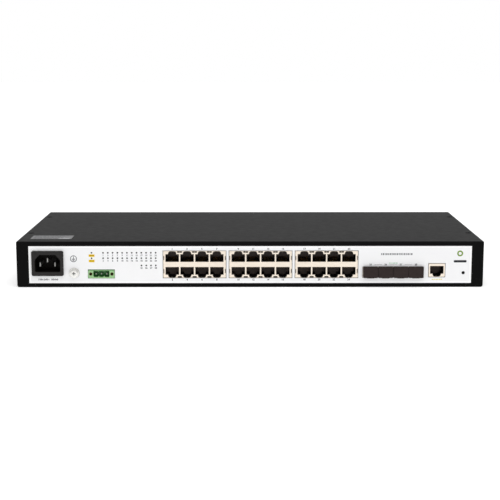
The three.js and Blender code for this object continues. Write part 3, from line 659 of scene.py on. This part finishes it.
# ---------------------------------------------------------------- mains inlet
def inlet():
    """A moulded inlet: a proud bezel with soft corners, and a recess with two chamfered corners. The recess's
    walls are the bezel's plastic painted darker: painted shade.
    """
    box = INLET
    seat = box.y0 + 2 * MM
    recess_end = box.y1 - 9 * MM
    width, height = 24 * MM, 16.4 * MM
    left, right = box.x - width / 2, box.x + width / 2
    bottom, top = box.z - height / 2, box.z + height / 2
    # The chamfers are small at the bottom corners and large at the top ones.
    foot = 1 * MM
    shoulder = 5 * MM
    lean = 4.4 * MM
    recess = [
        (left + foot, bottom), (right - foot, bottom), (right, bottom + foot),
        (right, top - shoulder), (right - lean, top), (left + lean, top),
        (left, top - shoulder), (left, bottom + foot),
    ]
    rim = rectangle(box.x, box.z, box.width, box.height, 1.5 * MM, 6)
    bezel = plate(rim, [recess], box.y0, seat, 0.35 * MM)
    piece("inlet_bezel", [bezel], INLET_PLASTIC, replaces=["power_inlet"])
    body = rectangle(box.x, box.z, 27.2 * MM, 20.2 * MM, 0.8 * MM, 3)
    tunnel = plate(body, [recess], seat, recess_end)
    end = plate(body, [], recess_end, box.y1)
    # The recess walls are painted darker as shade.
    piece("inlet_recess_painted_shade", [tunnel, end], INLET_RECESS_SHADE)
    for pin in ("line", "neutral", "earth"):
        dress(f"inlet_{pin}_pin", INLET_PIN, 0.5 * MM)


# ---------------------------------------------------------------- battery header
LOBE_PITCH = 5.08 * MM


def header_cavity(x, z):
    """The outline of three lobes side by side, with larger corners below than above."""
    half = 2.5 * MM
    bottom, top = z - 3.05 * MM, z + 3.05 * MM
    lower = [(-half, bottom + 1.25 * MM), (-1.8 * MM, bottom), (1.8 * MM, bottom), (half, bottom + 1.25 * MM)]
    upper = [(half, top - 0.75 * MM), (2.1 * MM, top), (-2.1 * MM, top), (-half, top - 0.75 * MM)]
    below = [(x + side * LOBE_PITCH + u, v) for side in (-1, 0, 1) for u, v in lower]
    above = [(x + side * LOBE_PITCH + u, v) for side in (1, 0, -1) for u, v in upper]
    return below + above


def header():
    """A green header: a flange with two inserts under a set-back ledge, and a cavity of three lobes. The
    cavity's walls and the ledge are the same green plastic painted darker: painted shade.
    """
    box = HEADER
    face = box.y0
    flange_rear = face + 2.6 * MM
    cavity_end = face + 8 * MM
    height = 8 * MM
    ledge = 0.6 * MM
    z = box.z1 - height / 2
    cavity = header_cavity(box.x, z)
    inserts = [(box.x + side * 10 * MM, z) for side in (-1, 1)]
    holes = [circle(*place, 1.55 * MM) for place in inserts]
    outline = rectangle(box.x, z - ledge / 2, box.width, height - ledge, 0.9 * MM, 4)
    flange = plate(outline, [cavity, *holes], face, flange_rear, 0.15 * MM)
    piece("header_flange", [flange], GREEN_PLASTIC, replaces=["battery_header"])
    body = rectangle(box.x, (BOARD_TOP + box.z1) / 2, box.width, box.z1 - BOARD_TOP)
    tunnel = plate(body, [cavity, *holes], flange_rear, cavity_end)
    end = plate(body, [], cavity_end, box.y1)
    across = (box.x0 + 0.4 * MM, box.x1 - 0.4 * MM)
    top = block(across, (face + 0.7 * MM, flange_rear), (box.z1 - ledge, box.z1), 0.1 * MM)
    # The cavity's walls and the ledge are painted darker green as shade.
    piece("header_body", [tunnel, end, top], SHADED_GREEN_PLASTIC)
    depth = (face + 0.15 * MM, face + 5 * MM)
    rings = [plate(circle(*place, 1.5 * MM), [circle(*place, 1.2 * MM)], *depth) for place in inserts]
    piece("header_inserts", rings, BRASS)
    for i in (1, 2, 3):
        dress(f"battery_pin_{i}", CONTACT_TIN, 0.12 * MM)


# ---------------------------------------------------------------- screws
def cross_recess(place, size, depth, axis):
    """A tapered cross, to be cut out of a screw's head."""
    half_width = size * 0.2
    taper_to = 0.45
    arms = []
    for turn in (0, math.pi / 2):
        arm = block((-size, size), (-half_width, half_width), (-depth, depth))
        taper = bmesh.new()
        taper.from_mesh(arm)
        for vert in taper.verts:
            if vert.co.z < 0:
                vert.co.x *= taper_to
        taper.to_mesh(arm)
        taper.free()
        arm.transform(Matrix.Rotation(turn, 4, "Z"))
        if axis == "-Y":
            arm.transform(Matrix.Rotation(math.pi / 2, 4, "X"))
        arm.transform(Matrix.Translation(place))
        arms.append(arm)
    return arms


def cover_screws():
    """Four cross-recessed countersunk screws."""
    shank = 1.5 * MM
    for i in (1, 2, 3, 4):
        node = f"cover_screw_{i}"
        box = Box(node)
        place = (box.x, box.y, box.z1)
        radius = box.width / 2
        profile = [
            (0, -box.height), (shank - 0.2 * MM, -box.height), (shank, -box.height + 0.3 * MM),
            (shank, -1 * MM), (radius - 0.1 * MM, -0.12 * MM), (radius - 0.15 * MM, -0.03 * MM), (0, 0),
        ]
        head = cut(lathe(profile, place, "+Z"), cross_recess(place, 1.6 * MM, 0.9 * MM, "+Z"))
        piece(f"{node}_head", [head], BLACK_OXIDE, replaces=[node])


def ground_terminal():
    """A cross-recessed pan screw on a flat washer, with a darker disc at the bottom of the cross: painted
    shade in the recess.
    """
    box = GROUND
    x, z = WASHER.x, WASHER.z
    place = (x, box.y0, z)
    length = box.depth
    shank = 1.9 * MM
    head_rear = -2.6 * MM
    profile = [
        (0, -length), (shank - 0.2 * MM, -length), (shank, -length + 0.3 * MM), (shank, head_rear),
        (3.9 * MM, head_rear), (4.0 * MM, -2.4 * MM), (4.0 * MM, -0.7 * MM), (3.8 * MM, -0.3 * MM),
        (3.4 * MM, -0.08 * MM), (2.8 * MM, 0), (0, 0),
    ]
    head = cut(lathe(profile, place, "-Y", 40), cross_recess(place, 2.4 * MM, 1.5 * MM, "-Y"))
    piece("ground_screw_head", [head], NICKEL, replaces=["ground_screw"])
    core = plate(circle(x, z, 2.6 * MM), [], box.y0 + 0.6 * MM, box.y0 + 1.4 * MM)
    # A dark disc under the cross: painted shade in the recess.
    piece("ground_screw_recess_shade", [core], RECESS_SHADE)
    ring = plate(circle(x, z, 4.85 * MM, 48), [circle(x, z, 2.1 * MM, 24)], WASHER.y0, WASHER.y1, 0.12 * MM)
    piece("ground_washer_ring", [ring], NICKEL, replaces=["ground_washer"])


# ---------------------------------------------------------------- dust plugs
def dust_plug(i, box):
    """A soft plug: a square head with a finger tab below, and a body that fills the cage's mouth."""
    body = f"sfp_plug_{i}"
    seat = FILM_FACE - 0.05 * MM
    drop = 0.35 * MM
    outline = rectangle(box.x, (box.z0 + drop + box.z1) / 2, box.width, box.height - drop, 0.9 * MM, 4)
    head = plate(outline, [], box.y0, seat, 0.35 * MM)
    tab_half = 3.4 * MM
    tab_x = (box.x - tab_half, box.x + tab_half)
    tab = block(tab_x, (box.y0 + 0.1 * MM, seat), (box.z0, box.z0 + 3 * MM), 0.3 * MM, 3)
    insert_half = 6.6 * MM
    insert_x = (box.x - insert_half, box.x + insert_half)
    insert_z = (9.95 * MM, 18.45 * MM)
    insert = block(insert_x, (seat - 0.5 * MM, box.y1), insert_z, 0.4 * MM)
    piece(f"dust_plug_{i}", [head, tab, insert], PLUG_RUBBER, body=body, replaces=[body])


# ---------------------------------------------------------------- printed marks
INK = 0.02 * MM
# The height of a digit in a font of size one.
DIGIT_HEIGHT = 0.7


def printed(outer, holes=(), layer=0):
    """A flat printed shape on the film, with the ink's thickness. Layer 1 lies on another shape."""
    face = FILM_FACE - layer * INK
    return plate(outer, list(holes), face - INK, face)


def digits(text, x, z, height, spread=1.0):
    """Bold digits centred on a point of the film. They are drawn one unit high, then scaled."""
    curve = bpy.data.curves.new("digits", "FONT")
    curve.body = text
    curve.align_x = "CENTER"
    curve.align_y = "CENTER"
    curve.resolution_u = 3
    curve.fill_mode = "BOTH"
    curve.offset = 0.03
    curve.extrude = 0.5
    scale = height / DIGIT_HEIGHT
    size = Matrix.Diagonal((scale * spread, scale, INK, 1))
    return from_curve(curve, Matrix.Translation((x, 0, z)) @ facing_front(FILM_FACE - INK / 2) @ size)


def dashes(x0, x1, z, height, lengths, gap=0.35 * MM, layer=0):
    """A row of short printed bars that fills a length, in place of a line of words."""
    unit = (x1 - x0 - gap * (len(lengths) - 1)) / sum(lengths)
    bars = []
    x = x0
    for length in lengths:
        width = length * unit
        bars.append(printed(rectangle(x + width / 2, z, width, height), layer=layer))
        x += width + gap
    return bars


def ink(name, meshes, finish):
    piece(name, meshes, finish)


# Lamps stand in two rows of port lamps, with the uplinks' lamps below and the status lamps to the left.
LAMP_PITCH = 4.5 * MM
LAMP_COLUMNS = [-138.4 * MM + i * LAMP_PITCH for i in range(12)]
LAMP_ROWS = (32.9 * MM, 27.75 * MM)
LAMP_NUMBER_ROWS = (30.3 * MM, 25.2 * MM)
UPLINK_COLUMNS = LAMP_COLUMNS[8:]
UPLINK_Z = 20.75 * MM
UPLINK_NUMBER_Z = 18.3 * MM
FIRST_UPLINK = 25
STATUS_X = -149.2 * MM
STATUS_ROWS = (30.2 * MM, 25.1 * MM)
# Where lines of marks lie: above and below the sockets, and under the inlet and the console.
ABOVE_JACKS = 36.4 * MM
BELOW_JACKS = 7.1 * MM
BOTTOM_LINE = 7.3 * MM
# How tall the digits are.
PORT_DIGITS = 1.7 * MM
SMALL_DIGITS = 1.45 * MM


def port_numbers():
    marks = []
    columns = [x for box in BLOCKS for x in block_columns(box)]
    for i, x in enumerate(columns):
        marks.append(digits(str(2 * i + 1), x, ABOVE_JACKS, PORT_DIGITS))
        marks.append(digits(str(2 * i + 2), x, BELOW_JACKS, PORT_DIGITS))
    ink("print_port_numbers", marks, DARK_INK)


def lamp_numbers():
    marks = []
    for i, x in enumerate(LAMP_COLUMNS):
        for row, z in enumerate(LAMP_NUMBER_ROWS, 1):
            marks.append(digits(str(2 * i + row), x, z, SMALL_DIGITS))
    for i, x in enumerate(UPLINK_COLUMNS):
        marks.append(digits(str(FIRST_UPLINK + i), x, UPLINK_NUMBER_Z, SMALL_DIGITS))
    ink("print_lamp_numbers", marks, DARK_INK)


def lamps():
    """Small domed windows over the lamps."""
    ports = [(x, z) for x in LAMP_COLUMNS for z in LAMP_ROWS]
    uplinks = [(x, UPLINK_Z) for x in UPLINK_COLUMNS]
    status = [(STATUS_X, z) for z in LAMP_ROWS]
    dome = [(0, 0), (0.8 * MM, 0), (0.76 * MM, 0.04 * MM), (0.4 * MM, 0.09 * MM), (0, 0.1 * MM)]
    windows = [lathe(dome, (x, FILM_FACE, z), "-Y", 16) for x, z in ports + uplinks + status]
    piece("lamp_windows", windows, SMOKED_LENS)


def status_labels():
    """Yellow fields under the status lamps, each with a short line on it."""
    fields = [printed(rectangle(STATUS_X, z, 5.5 * MM, 2.4 * MM, 0.3 * MM, 3)) for z in STATUS_ROWS]
    ink("print_status_fields", fields, YELLOW_INK)
    half = 1.9 * MM
    marks = []
    for z in STATUS_ROWS:
        marks += dashes(STATUS_X - half, STATUS_X + half, z, 0.7 * MM, (3, 2, 3), layer=1)
    ink("print_status_marks", marks, BROWN_INK)


def earth_symbol():
    """The protective-earth sign: a ring round a stem and three bars that get shorter downwards."""
    x, z = -166.3 * MM, 27.2 * MM
    ring = printed(circle(x, z, 3.2 * MM, 48), [circle(x, z, 2.55 * MM, 48)])
    stem = printed(rectangle(x, z + 1.1 * MM, 0.6 * MM, 2.2 * MM))
    bars = []
    for i in range(3):
        bars.append(printed(rectangle(x, z - (0.25 + 0.8 * i) * MM, (3.6 - 1.1 * i) * MM, 0.55 * MM)))
    ink("print_earth_sign", [ring, stem, *bars], GREY_INK)


def inlet_numbers():
    """The mains voltages and frequencies, in wide digits."""
    marks = [digits("100-240~  50/60", INLET.x, BOTTOM_LINE, SMALL_DIGITS, spread=1.35)]
    ink("print_inlet_numbers", marks, DARK_INK)


def cage_marks():
    """Numbers over the optical cages, thin lines between them, and two lines in place of words."""
    z = 21.4 * MM
    marks = [digits(str(FIRST_UPLINK + i), box.x, z, 1.6 * MM) for i, box in enumerate(PLUGS)]
    for left, right in zip(PLUGS, PLUGS[1:]):
        middle = (left.x + right.x) / 2
        marks.append(printed(rectangle(middle, z, 7 * MM, 0.2 * MM)))
    ink("print_cage_numbers", marks, DARK_INK)
    group = dashes(130.8 * MM, 139 * MM, 22.9 * MM, 0.8 * MM, (3, 2, 4, 3))
    ink("print_cage_group", group, PALE_GREEN_INK)
    name = dashes(123.3 * MM, 152.7 * MM, 31.5 * MM, 1.8 * MM, (2, 3) * 9, gap=0.7 * MM)
    ink("print_name_line", name, GREY_INK)


def console_marks():
    marks = dashes(171.5 * MM, 181.3 * MM, BOTTOM_LINE, 0.9 * MM, (3, 2, 4, 3, 2))
    ink("print_console_line", marks, PALE_YELLOW_INK)


def emblem():
    """A plain ring over a plain bar, where a maker would put a mark."""
    x, z = 197.7 * MM, 32.1 * MM
    ring = printed(circle(x, z, 2.8 * MM, 40), [circle(x, z, 1.5 * MM, 40)])
    bar = printed(rectangle(x + 0.2 * MM, 24.6 * MM, 12 * MM, 2.2 * MM, 0.6 * MM, 5))
    ink("print_emblem_ring", [ring], OLIVE_INK)
    ink("print_emblem_bar", [bar], DARK_INK)


def rating_label():
    """The cover's label, with rows of short bars in place of its words and a paler patch."""
    box = LABEL
    top = box.z1 - INK
    foil = block((box.x0, box.x1), (box.y0, box.y1), (box.z0, top))
    piece("rating_foil", [foil], LABEL_FOIL, replaces=["rating_label"])
    bars = []
    lengths = (3, 5, 2, 4, 6, 3, 2, 5, 4)
    row_pitch = 3.2 * MM
    row_height = 1.1 * MM
    gap = 1.2 * MM
    for row in range(6):
        y = box.y0 + 1.6 * MM + row * row_pitch
        x = box.x0 + 2.5 * MM
        for length in (lengths[row:] + lengths[:row])[: 5 + row % 3]:
            bars.append(block((x, x + length * MM), (y, y + row_height), (top, box.z1)))
            x += length * MM + gap
    piece("print_rating_rows", bars, GREY_INK)
    patch = block((box.x1 - 13 * MM, box.x1 - 2 * MM), (box.y0 + 1.5 * MM, box.y0 + 6.5 * MM), (top, box.z1))
    piece("print_rating_patch", [patch], PALE_GREY_INK)


# ---------------------------------------------------------------- CAD nodes that stay
def case_and_film():
    dress("chassis_tray", BODY_COAT)
    dress("front_panel", BODY_COAT)
    dress("top_cover", COVER_COAT)
    dress("front_overlay", WHITE_FILM)
    dress("sfp_cage", TIN)
    dress("reset_button", JACK_PLASTIC, 0.15 * MM)
    dress("reset_switch", JACK_PLASTIC)


def inner_pieces():
    for node in ("status_light_guide", "port_light_guide", "uplink_light_guide"):
        dress(node, CLEAR_PLASTIC, 0.1 * MM)
    for node in ("main_board", "power_board"):
        dress(node, SOLDER_MASK)
    for node in ("switch_chip", "phy_chip_1", "phy_chip_2", "phy_chip_3"):
        dress(node, CHIP_EPOXY, 0.2 * MM)
    for node in ("switch_heatsink", "power_heatsink"):
        dress(node, ALUMINIUM, 0.15 * MM)
    for group in ("board", "power"):
        for i in (1, 2, 3, 4):
            dress(f"{group}_standoff_{i}", NICKEL)
    dress("power_insulator", MYLAR)
    dress("power_transformer", TAPE, 0.6 * MM)
    dress("bulk_capacitor", SLEEVE, 0.3 * MM)
    dress("line_wire", BROWN_PVC)
    dress("neutral_wire", BLUE_PVC)
    dress("earth_wire", EARTH_PVC)
    dress("dc_cable", RED_PVC)


# ---------------------------------------------------------------- studio
def floor():
    """A large sheet of pale paper, a hair below the case."""
    mesh = bpy.data.meshes.new("floor")
    reach = 6.0
    corners = [(-reach, -reach, 0), (reach, -reach, 0), (reach, reach, 0), (-reach, reach, 0)]
    mesh.from_pydata(corners, [], [(0, 1, 2, 3)])
    paper = Finish("floor_paper", (252, 252, 252), 0.9, specular=0.1).mottled(300 * MM, 0.01)
    paper.set("Emission Color", (1, 1, 1, 1))
    paper.set("Emission Strength", 0.35)
    mesh.materials.append(paper.material)
    obj = bpy.data.objects.new("floor", mesh)
    bpy.context.scene.collection.objects.link(obj)
    obj.location.z = cad_bounds[0][2] - 0.2 * MM


def sun(name, strength, angle, elevation, azimuth):
    """A soft distant lamp from a direction: azimuth 0 is the front, 90 the right."""
    lamp = bpy.data.lights.new(name, "SUN")
    lamp.energy = strength
    lamp.angle = math.radians(angle)
    obj = bpy.data.objects.new(name, lamp)
    bpy.context.scene.collection.objects.link(obj)
    obj.rotation_euler = (math.radians(90 - elevation), 0, math.radians(azimuth))


def world():
    """White to look at, and a dimmer grey to light by."""
    sky = bpy.data.worlds.new("studio")
    bpy.context.scene.world = sky
    sky.use_nodes = True
    tree = sky.node_tree
    background = tree.nodes["Background"]
    path = tree.nodes.new("ShaderNodeLightPath")
    spread = tree.nodes.new("ShaderNodeMapRange")
    spread.inputs["To Min"].default_value = 0.45
    spread.inputs["To Max"].default_value = 1.0
    background.inputs["Color"].default_value = (1, 1, 1, 1)
    tree.links.new(path.outputs["Is Camera Ray"], spread.inputs["Value"])
    tree.links.new(spread.outputs["Result"], background.inputs["Strength"])


def camera():
    """In front and a little above."""
    data = bpy.data.cameras.new("camera")
    data.sensor_width = 36
    data.lens = 85.62
    data.clip_start = 50 * MM
    obj = bpy.data.objects.new("camera", data)
    bpy.context.scene.collection.objects.link(obj)
    obj.location = (-0.00412, -1.2022, 0.2258)
    obj.rotation_euler = (math.radians(90 - 9.798), 0, math.radians(-0.206))
    bpy.context.scene.camera = obj


def studio():
    floor()
    sun("front", strength=0.1, angle=40, elevation=14, azimuth=8)
    sun("top", strength=1.45, angle=70, elevation=74, azimuth=20)
    world()
    camera()
    bpy.context.scene.view_settings.view_transform = "Standard"


case_and_film()
inner_pieces()
for index, place_box in enumerate(BLOCKS, 1):
    jack_block(index, place_box)
console_jack()
inlet()
header()
cover_screws()
ground_terminal()
for index, place_box in enumerate(PLUGS, 1):
    dust_plug(index, place_box)
port_numbers()
lamp_numbers()
lamps()
status_labels()
earth_symbol()
inlet_numbers()
cage_marks()
console_marks()
emblem()
rating_label()
studio()

bpy.context.view_layer.update()
